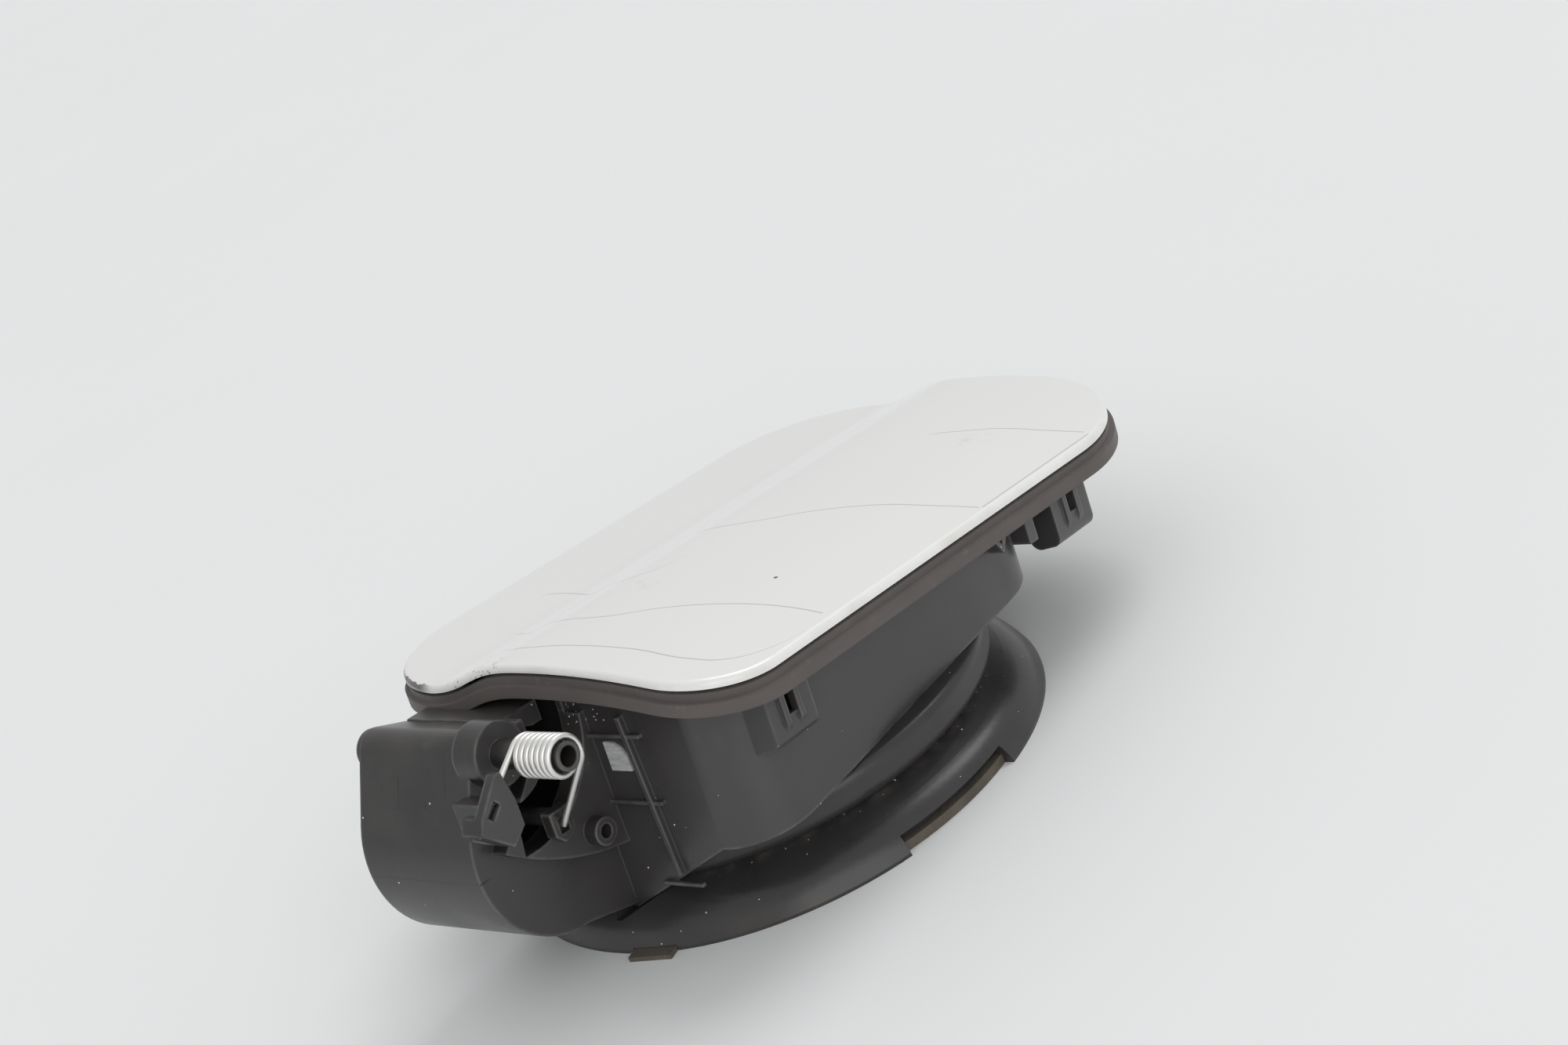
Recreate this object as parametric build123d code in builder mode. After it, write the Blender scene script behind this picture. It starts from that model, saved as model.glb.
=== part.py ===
# Car fuel door: painted flap on a gooseneck arm, plastic filler pot with a hinge
# pocket, torsion spring, edge seal and a rubber bellows that stands on the table.
#
# The origin is on the bellows axis, in the plane that its base stands on, +Z up.
# The flap leans against that plane, so flap, flange, pot and hinge are drawn in the
# flap's own frame: x along the hinge, y away from the hinge, z out of the flap.
import math
import os

from build123d import *

os.makedirs("parts", exist_ok=True)

# Flap frame over the bellows
flap_tilt = 9.0
near_edge_y = -72.45
near_edge_z = 88.73
spare = 30.0

# Painted flap
flap_width = 160.0
flap_length = 219.0
near_right_radius = 25.0
near_left_radius = 46.0
far_right_radius = 46.0
far_left_radius = 40.0
crown_fall = 9.5
step_drop = 7.0
step_run = 42.0
crown_margin = 20.0
panel_rise = 2.4
panel_edge = 2.5
panel_skin = 1.0
rim_wall = 2.6
edge_round = 1.8
skin_slope = 0.7

# Inner carrier of the flap
carrier_gap = 0.1
carrier_skin = 1.4
carrier_rib = 1.8
carrier_rib_drop = 2.2
carrier_inset = 9.0
rib_columns = 3
rib_rows = 4
rib_pitch_x = 38.0
rib_pitch_y = 44.0
rib_clearance = 2.0

# Flange and edge seal
flange_top = 3.4
flange_skin = 2.2
flange_inset = 1.6
seal_wall = 1.2
seal_flare = 1.6
seal_top = 1.3
seal_ledge = 3.6
seal_low = 7.6
seal_lip = 5.0
seal_gap = 0.3

# Pot bowl under the flange
side_ledge = 10.0
near_ledge = 10.5
bowl_length = 143.0
bowl_corner = 20.0
bowl_wall = 2.5
floor_height = 28.0
floor_skin = 2.5
floor_opening = 57.0
skirt_start_drop = 21.0

# Hinge axis in front of the flap, and the pocket round the arm
hinge_setback = 21.5
hinge_drop = 14.3
drum_y = 13.2
drum_z = -30.0
drum_radius = 31.0
drum_left = -43.0
drum_right = 6.0
drum_wall = 2.5
drum_top = 3.0
drum_roof = 3.5
hinge_cover_radius = 6.6
collar_radius = 9.4
collar_length = 10.0
pivot_boss_radius = 6.2
pivot_boss_length = 2.0
face_plate = 6.0
face_high = -2.7
face_low = -45.0
face_bow = 5.5
face_front = -10.5
face_front_low = -26.0

# Gooseneck arm
arm_left = -30.0
arm_right = 2.0
arm_skin = 4.0
arm_hub = 3.7
arm_angle = -106.0
arm_reach = 22.0
arm_bend = 20.5
arm_clearance = 4.0
pad_low = -13.0
pad_skin = 3.0
pad_start = 32.0
pad_length = 40.0
boss_inset = 6.0
boss_row = 14.0
arm_web = 3.0
finger_reach = 24.0
finger_angle = -74.0
finger_radius = 2.6
hook_left = 15.0
hook_skin = 4.0
hook_width = 7.6
hook_height = 9.6
hook_hole_width = 3.4
hook_hole_height = 4.4
slot_inner = 15.5
slot_outer = 30.3
slot_start = -98.0
slot_end = 15.0
screw_radius = 1.6
screw_head = 3.2
screw_head_height = 2.2
screw_bite = 3.4
boss_radius = 4.0

# Pin and spring
pin_radius = 1.75
running_gap = 0.05
pin_tail = 2.0
pin_end = 2.0
washer_radius = 4.0
washer_skin = 0.8
spool_radius = 4.2
spool_hollow = 3.0
spool_end = 40.0
wire = 1.8
coil_radius = 5.5
coil_pitch = 2.15
coil_turns = 7.35
coil_start = 22.9
coil_start_angle = 129.0
fixed_leg = 21.0
leg_clearance = 0.35
leg_bend = 2.6

# Spring bracket, screw boss and ribs, from the hinge axis
bracket_end = 24.6
bracket_back = -10.0
bracket_front = -25.0
bracket_low = -20.0
bracket_high = 1.0
bracket_web_front = -15.5
bracket_web_high = -8.0
bracket_slope = 4.0
block_length = 8.4
strut_skin = 3.4
leg_window = 4.6
screw_boss_y = 21.5
screw_boss_z = -35.5
screw_boss_radius = 4.2
screw_boss_bore = 2.1
screw_boss_length = 5.0
screw_boss_depth = 9.0
tall_rib_top = 15.0
tall_rib_foot = 18.5
tall_rib_high = -4.0
tall_rib_low = -54.0
rib_width = 1.6
tall_rib_reach = 2.0
fin_width = 1.1
fin_reach = 1.4
fin_length = 21.0
fin_heights = (-10.2, -31.2)
foot_fin_start = 10.0
foot_fin_length = 16.0
foot_fin_height = -57.0
gusset_places = (3.5, 16.5)
gusset_drop = 12.0

# Side clips, with their gussets, under the flange
clip_near_place = 8.5
clip_near_left_place = 39.0
clip_far_place = 2.0
clip_length = 18.0
clip_root = 6.0
clip_out = 6.0
clip_low = -33.0
clip_slope = 0.17
clip_round = 3.5
clip_wall = 2.0
clip_window = 6.0
clip_window_high = -18.5
clip_window_low = -25.5
clip_rib = 2.0
clip_rib_reach = 1.0
vee_place = 23.9
vee_half = 14.0
vee_low = -22.5
vee_width = 1.4
vee_reach = 6.0
stub_place = 9.5
stub_length = 4.0
stub_low = -26.6

# Bellows and its base
lip_radius = 87.5
lip_skin = 3.0
lip_edge = 1.0
shoulder_inset = 3.5
shoulder_height = 8.5
shoulder_round = 16.0
bead_radius = 77.0
bead_height = 10.0
bead_round = 4.0
groove_radius = 71.0
groove_height = 14.0
neck_radius = 33.0
neck_collar = 3.0
membrane = 2.5
base_width = 12.2
base_height = 3.0
notch_start = -24.0
notch_end = 6.0
notch_depth = 6.0
notch_height = 6.0
tab_angle = -78.0
tab_end = 91.0
tab_width = 15.0
tab_skin = 1.5

# Latch, bumpers, cap hook and spring nut
latch_inset = 15.5
latch_width = 24.0
latch_length = 16.0
latch_low = -24.0
latch_wall = 3.0
tongue_width = 10.0
tongue_skin = 3.0
tongue_low = -21.0
tongue_slot = 6.0
tongue_slot_width = 2.5
bumper_radius = 5.0
bumper_gap = 0.4
bumper_x = 48.0
bumper_inset = 35.5
cap_hook_x = 42.0
cap_hook_place = 85.0
cap_hook_width = 14.0
cap_hook_drop = 20.0
cap_hook_reach = 9.0
cap_hook_lip = 5.0
cap_hook_skin = 2.5
nut_x = 8.8
nut_z = -16.8
nut_length = 8.4
nut_width = 9.0
nut_round = 6.5
nut_skin = 0.8

# Places that follow from the sizes above
tilt = math.radians(flap_tilt)
half_width = flap_width / 2
half_length = flap_length / 2
flap_forward = near_edge_y + half_length * math.cos(tilt)
flap_height = near_edge_z - half_length * math.sin(tilt)
hinge_y = -half_length - hinge_setback
hinge_z = -hinge_drop
bowl_near = -half_length + near_ledge
bowl_far = bowl_near + bowl_length
bowl_side = half_width - side_ledge
skirt_end = bowl_side - bowl_corner
flange_low = flange_top + flange_skin
seal_inner = seal_wall - flange_inset
seal_outer = seal_inner + seal_flare
carrier_top = panel_rise - panel_skin - carrier_gap
carrier_low = carrier_top - carrier_skin
rib_low = carrier_low - carrier_rib_drop
pad_near = hinge_y + pad_start
latch_y = half_length - latch_inset
face_x = drum_right + face_plate
pin_left = drum_left - pivot_boss_length - pin_tail
base_outer = lip_radius - lip_skin - seal_gap
base_inner = base_outer - base_width
shoulder_radius = lip_radius - shoulder_inset
clip_near_y = bowl_near + clip_near_place
clip_near_left_y = bowl_near + clip_near_left_place
clip_far_y = bowl_far + clip_far_place
vee_y = bowl_far - vee_place
stub_y = bowl_far - stub_place
bumper_y = half_length - bumper_inset
cap_hook_y = bowl_near + cap_hook_place

flap = Plane(
    origin=(0, flap_forward, flap_height),
    x_dir=(1, 0, 0),
    z_dir=(0, math.sin(tilt), math.cos(tilt)),
)


def above(z):
    """Plane parallel to the flap, z above its crease."""
    return flap.offset(z)


def across(x):
    """Plane square to the hinge, where a point is (y, z) of the flap frame."""
    return Plane(
        origin=flap.from_local_coords(Vector(x, 0, 0)),
        x_dir=flap.y_dir,
        z_dir=flap.x_dir,
    )


def facing(y):
    """Plane facing the hinge edge, where a point is (x, z) of the flap frame."""
    return Plane(
        origin=flap.from_local_coords(Vector(0, y, 0)),
        x_dir=flap.x_dir,
        z_dir=-flap.y_dir,
    )


def polar(distance, angle):
    """Point (y, z) at a distance and angle from the hinge axis."""
    turn = math.radians(angle)
    return (hinge_y + distance * math.cos(turn), hinge_z + distance * math.sin(turn))


def from_hinge(y, z):
    """Point (y, z) at an offset from the hinge axis."""
    return (hinge_y + y, hinge_z + z)


def floor_at(y):
    """Height in the flap frame of the pot's underside at a distance y."""
    return (floor_height - flap_height + y * math.sin(tilt)) / math.cos(tilt)


def outline(grow):
    """Flap outline with its four unequal corners, grown outwards."""
    corners = [
        (1, -1, near_right_radius),
        (-1, -1, near_left_radius),
        (1, 1, far_right_radius),
        (-1, 1, far_left_radius),
    ]
    with BuildSketch() as plan:
        Rectangle(flap_width + 2 * grow, flap_length + 2 * grow)
        for side, end, radius in corners:
            corner = plan.vertices().sort_by_distance(
                (side * flap_width, end * flap_length, 0)
            )[0]
            fillet(corner, radius + grow)
    return plan.sketch


def ring(outer, inner):
    """Band between two copies of the flap outline."""
    with BuildSketch() as plan:
        add(outline(outer))
        add(outline(inner), mode=Mode.SUBTRACT)
    return plan.sketch


def crown_line(shift):
    """Crown across the flap: low flat, step up to the crease, fall to the right."""
    edge = half_width + crown_margin
    fall = crown_fall * (edge / half_width) ** 2
    low = shift - step_drop
    Line((-edge, low), (-step_run, low))
    Bezier((-step_run, low), (-step_run / 2, low), (-step_run / 2, shift), (0, shift))
    Bezier((0, shift), (edge / 2, shift), (edge, shift - fall))
    return (-edge, low), (edge, shift - fall)


def crown_slab(high, low):
    """Body between two copies of the crown, at heights high and low."""
    with BuildPart() as slab:
        with BuildSketch(facing(-flap_length)):
            with BuildLine():
                upper = crown_line(high)
                lower = crown_line(low)
                Line(upper[0], lower[0])
                Line(upper[1], lower[1])
            make_face()
        extrude(amount=-2 * flap_length)
    return slab.part


def crown_prism(plan, high, low):
    """Plan outline between two copies of the crown."""
    with BuildPart() as prism:
        with BuildSketch(above(-2 * spare)):
            add(plan)
        extrude(amount=4 * spare)
        add(crown_slab(high, low), mode=Mode.INTERSECT)
    return prism.part


def box_plan(left, right, near, far):
    """Rectangle in plan between four sides."""
    with BuildSketch() as plan:
        with Locations(((left + right) / 2, (near + far) / 2)):
            Rectangle(right - left, far - near)
    return plan.sketch


def export(piece, name):
    """Label a finished piece and write its file."""
    piece.label = name
    export_step(piece, f"parts/{name}.step")


# Painted outer panel: a crowned skin with a turned-down rim
with BuildPart() as flap_panel:
    add(crown_prism(outline(0), panel_rise, panel_rise - panel_edge))
    skin = flap_panel.faces().filter_by(
        lambda face: face.normal_at(face.center()).dot(flap.z_dir) > skin_slope
    )
    rim_edges = skin.edges().filter_by(
        lambda edge: edge.length < half_length
        or abs(edge.center().X) > half_width - edge_round
    )
    fillet(rim_edges, edge_round)
    add(
        crown_prism(outline(-rim_wall), panel_rise - panel_skin, -spare),
        mode=Mode.SUBTRACT,
    )
export(flap_panel.part, "flap_panel")

# Inner carrier: skin under the panel with a grid of ribs, bosses and the latch tongue
boss_spots = [
    ((arm_left + arm_right) / 2, pad_near + pad_length - 2 * boss_radius),
    (arm_left + boss_inset, pad_near + boss_row),
    (arm_right - boss_inset, pad_near + boss_row),
]
with BuildSketch() as rib_plan:
    with GridLocations(rib_pitch_x, 0, rib_columns, 1):
        Rectangle(carrier_rib, flap_length)
    with GridLocations(0, rib_pitch_y, 1, rib_rows):
        Rectangle(flap_width, carrier_rib)
    add(outline(-carrier_inset), mode=Mode.INTERSECT)
    add(ring(-carrier_inset, -carrier_inset - carrier_rib))
    add(
        box_plan(
            arm_left - rib_clearance,
            arm_right + rib_clearance,
            -flap_length,
            pad_near + pad_length + rib_clearance,
        ),
        mode=Mode.SUBTRACT,
    )
with BuildPart() as flap_inner:
    add(crown_prism(outline(-carrier_inset), carrier_top, carrier_low))
    add(crown_prism(rib_plan.sketch, carrier_low, rib_low))
    with BuildSketch(above(pad_low + pad_skin)):
        with Locations(boss_spots):
            Circle(boss_radius)
    extrude(amount=-(pad_low + pad_skin))
    with BuildSketch(above(tongue_low)):
        with Locations((0, latch_y)):
            Rectangle(tongue_width, tongue_skin)
    extrude(amount=-tongue_low)
    add(crown_slab(spare, carrier_top), mode=Mode.SUBTRACT)
    with BuildSketch(facing(latch_y)):
        with Locations((0, tongue_low + tongue_width / 2)):
            SlotOverall(tongue_slot, tongue_slot_width)
    extrude(amount=tongue_skin, both=True, mode=Mode.SUBTRACT)
    with BuildSketch(above(pad_low + pad_skin)):
        with Locations(boss_spots):
            Circle(screw_radius)
    extrude(amount=screw_bite, mode=Mode.SUBTRACT)
export(flap_inner.part, "flap_inner")

# Gooseneck arm: hub, bend inside the pocket, pad under the flap, spring finger
hook_y, hook_z = polar(finger_reach, finger_angle)
hook_mid_z = hook_z + finger_radius - hook_height / 2
with BuildPart() as hinge_arm:
    with BuildSketch(across(arm_left)):
        with BuildLine():
            leg = Line(polar(0, 0), polar(arm_reach, arm_angle))
            bend = JernArc(leg @ 1, leg % 1, arm_bend, 90 - arm_angle)
            Line(bend @ 1, ((bend @ 1).X, pad_low + pad_skin / 2))
        trace(line_width=arm_skin)
        with Locations(polar(0, 0)):
            Circle(arm_hub)
        with Locations((pad_near + pad_length / 2, pad_low + pad_skin / 2)):
            Rectangle(pad_length, pad_skin)
    extrude(amount=arm_right - arm_left)
    with BuildSketch(across(arm_right - arm_web)):
        with Locations(polar(finger_reach, finger_angle)):
            Circle(finger_radius)
        with Locations(polar(arm_reach - arm_skin, arm_angle)):
            Circle(arm_skin / 2)
        make_hull()
    extrude(amount=arm_web)
    with BuildSketch(across(arm_right)):
        with Locations(polar(finger_reach, finger_angle)):
            Circle(finger_radius)
    extrude(amount=hook_left - arm_right)
    with BuildSketch(across(hook_left)) as hook:
        with Locations((hook_y, hook_mid_z)):
            Rectangle(hook_width, hook_height)
            chamfer(hook.vertices().group_by(Axis.Y)[0], hook_width / 3)
    extrude(amount=hook_skin)
    with BuildSketch(across(hook_left + hook_skin / 2)):
        with Locations((hook_y, hook_mid_z)):
            Rectangle(hook_hole_width, hook_hole_height)
    extrude(amount=hook_skin / 2, mode=Mode.SUBTRACT)
    with BuildSketch(across(arm_left)):
        with Locations(polar(0, 0)):
            Circle(pin_radius + running_gap)
    extrude(amount=arm_right - arm_left, mode=Mode.SUBTRACT)
    with BuildSketch(above(pad_low)):
        with Locations(boss_spots):
            Circle(screw_radius + running_gap)
    extrude(amount=pad_skin, mode=Mode.SUBTRACT)
export(hinge_arm.part, "hinge_arm")

# Screws through the pad into the carrier bosses
with BuildPart() as arm_screws:
    with BuildSketch(above(pad_low)):
        with Locations(boss_spots):
            Circle(screw_head)
    extrude(amount=-screw_head_height)
    with BuildSketch(above(pad_low)):
        with Locations(boss_spots):
            Circle(screw_radius - running_gap)
    extrude(amount=pad_skin + screw_bite - running_gap)
export(arm_screws.part, "arm_screws")

# Hinge pin and its push-on washer
with BuildPart() as hinge_pin:
    with BuildSketch(across(pin_left)):
        with Locations(polar(0, 0)):
            Circle(pin_radius)
    extrude(amount=drum_right + pin_end - pin_left)
export(hinge_pin.part, "hinge_pin")

with BuildPart() as pin_washer:
    with BuildSketch(across(drum_left - pivot_boss_length)):
        with Locations(polar(0, 0)):
            Circle(washer_radius)
            Circle(pin_radius, mode=Mode.SUBTRACT)
    extrude(amount=-washer_skin)
export(pin_washer.part, "pin_washer")


def bowl_plan(inset):
    """Bowl outline in plan, taken in from every side."""
    with BuildSketch() as plan:
        add(
            box_plan(
                -bowl_side + inset,
                bowl_side - inset,
                bowl_near + inset,
                bowl_far - inset,
            )
        )
        fillet(plan.vertices(), bowl_corner - inset)
    return plan.sketch


def bowl_block(inset, floor):
    """Bowl outline from the flange down to a level floor."""
    with BuildPart() as block:
        with BuildSketch(above(0)):
            add(bowl_plan(inset))
        extrude(amount=-flap_height - bowl_side)
        with BuildSketch(Plane.XY.offset(floor)):
            Rectangle(2 * flap_length, 2 * flap_length)
        extrude(amount=-2 * flap_height, mode=Mode.SUBTRACT)
    return block.part


skirt_low = floor_at(bowl_near) - skirt_start_drop


def drum_profile(inset, top, far):
    """Pocket section: round body and hinge cover in one skin, open towards the bowl."""
    middle, centre = from_hinge(drum_y, drum_z)
    with BuildSketch() as section:
        with Locations((middle, centre)):
            Circle(drum_radius - inset)
        with Locations((hinge_y, hinge_z)):
            Circle(hinge_cover_radius - inset)
        make_hull()
        with BuildLine():
            Polyline(
                (middle, hinge_z + top),
                (far, hinge_z + top),
                (far, skirt_low + inset),
                (middle, centre - drum_radius + inset),
                close=True,
            )
        make_face()
    return section.sketch


def drum_block(inset, top, far):
    """Pocket section along the hinge between its two end walls."""
    with BuildPart() as block:
        with BuildSketch(across(drum_left + inset)):
            add(drum_profile(inset, top, far))
        extrude(amount=drum_right - drum_left - 2 * inset)
    return block.part


def skirt(drop, start):
    """Near wall below the floor, its lower edge rising away from the pocket."""
    top = floor_at(bowl_near) + floor_skin
    with BuildSketch() as plan:
        with BuildLine():
            Polyline(
                (start, top),
                (start, skirt_low - drop),
                (drum_right, skirt_low - drop),
                (skirt_end, floor_at(bowl_near) - drop),
                (skirt_end, top),
                close=True,
            )
        make_face()
    return plan.sketch


def near_line(x_start, z_start, x_end, z_end, width):
    """Straight rib in the plane of the near wall, from the hinge axis and end face."""
    with BuildSketch() as plan:
        with BuildLine():
            Line((face_x + x_start, hinge_z + z_start), (face_x + x_end, hinge_z + z_end))
        trace(line_width=width)
    return plan.sketch


def clip(y):
    """Hollow wedge with a window on the right side wall, from y onwards."""
    inner = bowl_side - clip_root
    outer = bowl_side + clip_out
    with BuildPart() as wedge:
        with BuildSketch(facing(y)):
            with BuildLine():
                Polyline(
                    (inner, 0),
                    (outer, 0),
                    (outer, clip_low),
                    (inner, clip_low - clip_slope * (outer - inner)),
                    close=True,
                )
            section = make_face()
            fillet(section.vertices().sort_by(Axis.Y)[:2], clip_round)
        extrude(amount=-clip_length)
        for place in ((clip_length - clip_window) / 2, (clip_length + clip_window) / 2):
            with BuildSketch(facing(y + place - clip_rib / 2)):
                with BuildLine():
                    Polyline(
                        (outer, 0),
                        (outer + clip_rib_reach, 0),
                        (outer + clip_rib_reach, clip_window_low - clip_rib),
                        (outer, clip_low + clip_round),
                        close=True,
                    )
                make_face()
            extrude(amount=-clip_rib)
        with BuildSketch(facing(y + clip_wall)):
            with BuildLine():
                Polyline(
                    (inner, 0),
                    (outer - clip_wall, 0),
                    (outer - clip_wall, clip_low + clip_wall),
                    (inner, clip_low + clip_wall - clip_slope * (outer - inner)),
                    close=True,
                )
            make_face()
        extrude(amount=-clip_length + 2 * clip_wall, mode=Mode.SUBTRACT)
        with BuildSketch(across(outer - 2 * clip_wall)):
            with Locations((y + clip_length / 2, (clip_window_high + clip_window_low) / 2)):
                Rectangle(clip_window - clip_rib, clip_window_high - clip_window_low)
        extrude(amount=4 * clip_wall, mode=Mode.SUBTRACT)
    return wedge.part


def wall_fins():
    """Vee gusset and stub on the right side wall."""
    with BuildPart() as fins:
        with BuildSketch(across(bowl_side - bowl_wall / 2)):
            with BuildLine():
                Polyline((vee_y - vee_half, 0), (vee_y, vee_low), (vee_y + vee_half, 0))
            trace(line_width=vee_width)
            with Locations((stub_y, stub_low / 2)):
                Rectangle(stub_length, -stub_low)
        extrude(amount=vee_reach + bowl_wall / 2)
    return fins.part


# Spring bracket: a web from the pocket's end wall, a block in front, a strut by the leg
block_corner = (bracket_front + bracket_slope / 2, bracket_web_high)
bracket_web = [
    (bracket_back, bracket_web_high),
    (bracket_web_front, bracket_web_high),
    (bracket_web_front, bracket_low),
    (bracket_back, bracket_low + bracket_slope),
]
bracket_block = [
    (bracket_back, bracket_web_high),
    block_corner,
    (bracket_front, bracket_web_high - bracket_slope),
    (bracket_web_front, bracket_low),
    (bracket_back, bracket_low + bracket_slope),
]
bracket_strut = [
    (bracket_back, bracket_web_high),
    (bracket_back - bracket_slope / 2, bracket_high),
    (bracket_back - bracket_slope, bracket_high),
    block_corner,
]
bracket_parts = [
    (drum_right - drum_wall, bracket_web),
    (bracket_end - block_length, bracket_block),
    (bracket_end - strut_skin, bracket_strut),
]

# Filler pot: flange, bowl, hinge pocket, end face with spool, bracket, bosses and clips
with BuildPart() as right_parts:
    add(clip(clip_near_y))
    add(clip(clip_far_y))
    add(wall_fins())
with BuildPart() as left_parts:
    add(clip(clip_near_left_y))
    add(clip(clip_far_y))
    add(wall_fins())
with BuildPart() as pot:
    add(bowl_block(0, floor_height))
    add(drum_block(0, drum_top, bowl_near + 2 * bowl_wall))
    with BuildSketch(facing(bowl_near)):
        add(skirt(0, drum_right - drum_wall))
    extrude(amount=-bowl_wall)
    with BuildSketch(across(drum_left)):
        with Locations(polar(0, 0)):
            Circle(pivot_boss_radius)
    extrude(amount=-pivot_boss_length)
    with BuildSketch(across(drum_right)):
        with Locations(polar(0, 0)):
            Circle(spool_radius)
    extrude(amount=spool_end - drum_right)
    with BuildSketch(across(face_x - collar_length)):
        with Locations(polar(0, 0)):
            Circle(collar_radius)
    extrude(amount=collar_length)
    with BuildSketch(across(drum_right)):
        with BuildLine():
            front = from_hinge(face_front, face_front_low)
            foot = (bowl_near + bowl_wall, hinge_z + face_low)
            Polyline(front, from_hinge(drum_y, face_high), (foot[0], hinge_z + face_high), foot)
            ThreePointArc(foot, from_hinge(drum_y, face_low + face_bow), front)
        make_face()
    extrude(amount=face_plate)
    with BuildSketch(across(face_x)):
        with Locations(from_hinge(screw_boss_y, screw_boss_z)):
            Circle(screw_boss_radius)
    extrude(amount=screw_boss_length)
    for start, profile in bracket_parts:
        with BuildSketch(across(start)):
            with BuildLine():
                Polyline(*[from_hinge(y, z) for y, z in profile], close=True)
            make_face()
        extrude(amount=bracket_end - start)
    with BuildSketch(facing(bowl_near)):
        add(near_line(tall_rib_top, tall_rib_high, tall_rib_foot, tall_rib_low, rib_width))
    extrude(amount=tall_rib_reach)
    with BuildSketch(facing(bowl_near)):
        for fin in fin_heights:
            add(near_line(0, fin, fin_length, fin, fin_width))
        foot_fin_end = foot_fin_start + foot_fin_length
        add(near_line(foot_fin_start, foot_fin_height, foot_fin_end, foot_fin_height, fin_width))
    extrude(amount=fin_reach)
    for place in gusset_places:
        with BuildSketch(across(face_x + place - rib_width)):
            with BuildLine():
                Polyline(
                    (bowl_near, 0),
                    (bowl_near, -gusset_drop),
                    (bowl_near - near_ledge + flange_inset, 0),
                    close=True,
                )
            make_face()
        extrude(amount=rib_width)
    add(right_parts.part)
    add(mirror(left_parts.part, about=Plane.YZ))
    add(crown_prism(outline(-flange_inset), spare, -flange_top), mode=Mode.SUBTRACT)
    add(
        crown_prism(ring(seal_outer + seal_gap, -flange_inset), spare, -seal_low - seal_gap),
        mode=Mode.SUBTRACT,
    )
    add(
        crown_prism(ring(0, -flange_inset - seal_lip - seal_gap), -flange_top, -seal_low - seal_gap),
        mode=Mode.SUBTRACT,
    )
    add(crown_prism(outline(-flange_inset), -flange_top, -flange_low))
    add(bowl_block(bowl_wall, floor_height + floor_skin), mode=Mode.SUBTRACT)
    add(drum_block(drum_wall, -drum_roof, bowl_near + bowl_wall + seal_gap), mode=Mode.SUBTRACT)
    with BuildSketch(above(hinge_z - drum_roof)):
        add(
            box_plan(
                arm_left - arm_clearance,
                drum_right - drum_wall,
                bowl_near - arm_clearance - seal_gap,
                bowl_near + 2 * bowl_wall,
            )
        )
    extrude(amount=hinge_drop + drum_roof, mode=Mode.SUBTRACT)
    slot_depth = face_x - arm_right + arm_web + running_gap + seal_gap
    with BuildSketch(across(face_x - slot_depth)):
        with BuildLine():
            CenterArc(polar(0, 0), (slot_inner + slot_outer) / 2, slot_start, slot_end - slot_start)
        trace(line_width=slot_outer - slot_inner)
    extrude(amount=slot_depth, mode=Mode.SUBTRACT)
    with BuildSketch(across(drum_left - pivot_boss_length)):
        with Locations(polar(0, 0)):
            Circle(pin_radius)
    extrude(amount=drum_right + pin_end - drum_left + pivot_boss_length, mode=Mode.SUBTRACT)
    with BuildSketch(across(spool_end)):
        with Locations(polar(0, 0)):
            Circle(spool_hollow)
    extrude(amount=-(spool_end - drum_right - pin_end - drum_wall), mode=Mode.SUBTRACT)
    with BuildSketch(across(face_x + screw_boss_length)):
        with Locations(from_hinge(screw_boss_y, screw_boss_z)):
            Circle(screw_boss_bore)
    extrude(amount=-screw_boss_depth, mode=Mode.SUBTRACT)
    with BuildSketch(Plane.XY.offset(floor_height)):
        Circle(floor_opening)
    extrude(amount=floor_skin, mode=Mode.SUBTRACT)
    with BuildSketch(above(-2 * spare)):
        with Locations((0, latch_y)):
            Rectangle(latch_width - 2 * latch_wall, latch_length - 2 * latch_wall)
    extrude(amount=2 * spare, mode=Mode.SUBTRACT)

# Torsion spring: close-wound coil on the spool, one leg to the bracket, one to the hook
start_turn = math.radians(coil_start_angle)
coil_plane = Plane(
    origin=flap.from_local_coords(Vector(coil_start, hinge_y, hinge_z)),
    x_dir=flap.y_dir * math.cos(start_turn) + flap.z_dir * math.sin(start_turn),
    z_dir=flap.x_dir,
)
winding = Edge.make_helix(coil_pitch, coil_pitch * coil_turns, coil_radius, lefthand=True)
winding = winding.moved(coil_plane.location)
fixed_heading = -(winding % 0)
hook_target = flap.from_local_coords(Vector(hook_left + hook_skin, hook_y, hook_mid_z))
bend_corner = winding @ 1 + (winding % 1) * leg_bend
moving = hook_target - bend_corner
bend_end = bend_corner + moving.normalized() * leg_bend


def straight_wire(start, heading, length, grow):
    """Round rod from a point along a heading."""
    with BuildPart() as rod:
        with BuildSketch(Plane(origin=start, z_dir=heading)):
            Circle(wire / 2 + grow)
        extrude(amount=length)
    return rod.part


with BuildPart() as torsion_spring:
    with BuildSketch(Plane(origin=winding @ 0, z_dir=winding % 0)):
        Circle(wire / 2)
    sweep(path=winding, is_frenet=True)
    add(straight_wire(winding @ 0, fixed_heading, fixed_leg, 0))
    with BuildLine():
        bend = Bezier(winding @ 1, bend_corner, bend_end)
    with BuildSketch(Plane(origin=winding @ 1, z_dir=winding % 1)):
        Circle(wire / 2)
    sweep(path=bend)
    add(straight_wire(bend_end, moving, moving.length - leg_bend, 0))
export(torsion_spring.part, "torsion_spring")

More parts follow.
